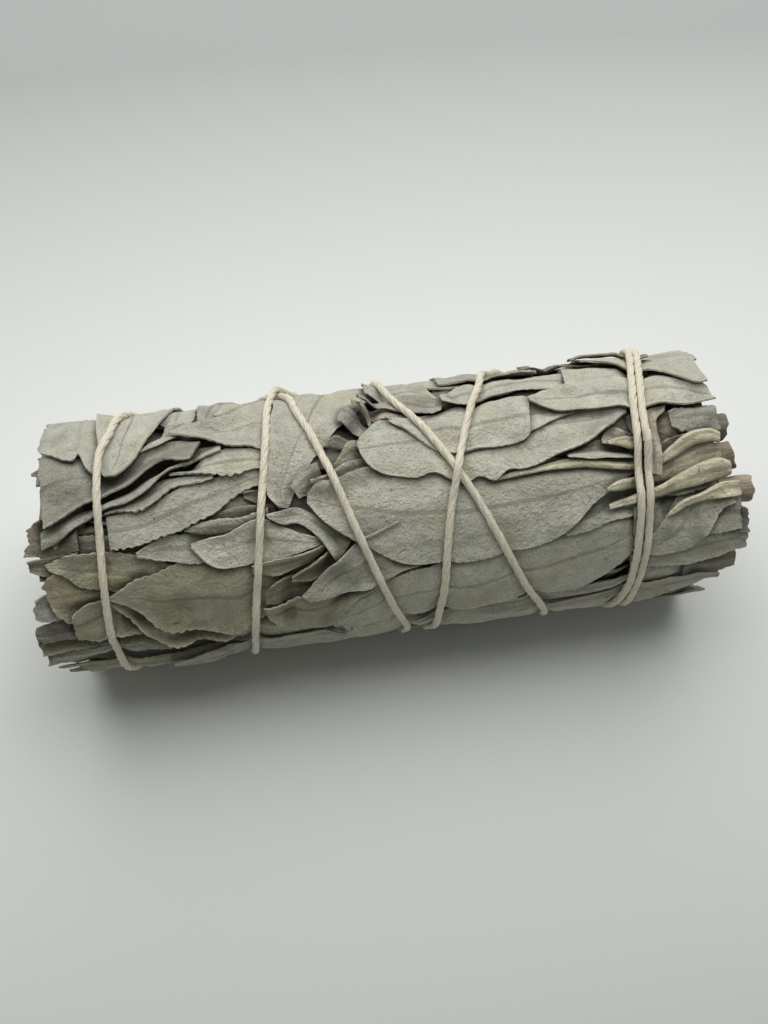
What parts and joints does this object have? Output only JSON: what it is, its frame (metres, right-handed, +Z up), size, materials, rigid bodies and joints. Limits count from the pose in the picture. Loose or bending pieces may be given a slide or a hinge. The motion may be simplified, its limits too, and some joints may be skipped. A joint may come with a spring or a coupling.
{
  "type": "dried sage bunch",
  "caption": "Dried white sage leaves on cut stems, packed into a short roll and bound with one criss-crossed cotton string, lying on its side.",
  "frame": {"origin": "on the surface that the roll lies on, under the middle of its box", "axes": "+X along the roll, from its leaf-tip end to its cut-stem end; +Z up; the side that the picture shows faces -Y"},
  "size_m": [0.1018, 0.0412, 0.0395],
  "materials": {
    "sage_leaf": "dry, velvety, pale grey-green",
    "inner": "dry, dark grey-brown",
    "stalk": "dry, pale yellow",
    "wood": "thin bark with a cut end",
    "cotton": "twisted cotton"
  },
  "bodies": {
    "root": {"inner_leaves": "inner", "stem_1": "wood", "stem_2": "wood", "stem_3": "wood", "stem_4": "wood", "stem_5": "wood", "stem_6": "wood", "leaf_back_1_1": "sage_leaf", "leaf_back_1_2": "sage_leaf", "leaf_back_2_1": "sage_leaf", "leaf_back_2_2": "sage_leaf", "leaf_back_3_1": "sage_leaf", "leaf_back_3_2": "sage_leaf", "leaf_back_4_1": "sage_leaf", "leaf_back_4_2": "sage_leaf", "leaf_floor_1": "sage_leaf", "leaf_floor_2": "sage_leaf", "leaf_floor_3": "sage_leaf", "leaf_floor_4": "sage_leaf", "leaf_under_1": "sage_leaf", "leaf_under_2": "sage_leaf", "leaf_under_3": "sage_leaf", "leaf_under_4": "sage_leaf", "leaf_bottom_1": "sage_leaf", "leaf_bottom_2": "sage_leaf", "leaf_left_1": "sage_leaf", "leaf_left_2": "sage_leaf", "leaf_right_1": "sage_leaf", "leaf_right_2": "sage_leaf", "leaf_low_long": "sage_leaf", "leaf_right_4": "sage_leaf", "leaf_torn_brown": "sage_leaf", "leaf_pale_edged": "sage_leaf", "leaf_round_olive": "sage_leaf", "leaf_pointed": "sage_leaf", "leaf_long_smooth": "sage_leaf", "leaf_wavy_1": "sage_leaf", "leaf_wavy_2": "sage_leaf", "leaf_fold_left": "sage_leaf", "leaf_left_5": "sage_leaf", "leaf_top_1": "sage_leaf", "leaf_top_2": "sage_leaf", "leaf_top_3": "sage_leaf", "leaf_fold_middle": "sage_leaf", "leaf_wedge": "sage_leaf", "leaf_corner_top_left": "sage_leaf", "leaf_hanging_left": "sage_leaf", "leaf_hanging_middle": "sage_leaf", "stalk_1": "stalk", "stalk_2": "stalk", "stalk_3": "stalk", "stalk_4": "stalk", "leaf_broad": "sage_leaf", "leaf_middle": "sage_leaf", "leaf_upper": "sage_leaf", "leaf_right_6": "sage_leaf", "leaf_right_7": "sage_leaf", "leaf_corner_top_right": "sage_leaf", "string": "cotton"}
  },
  "joints": []
}
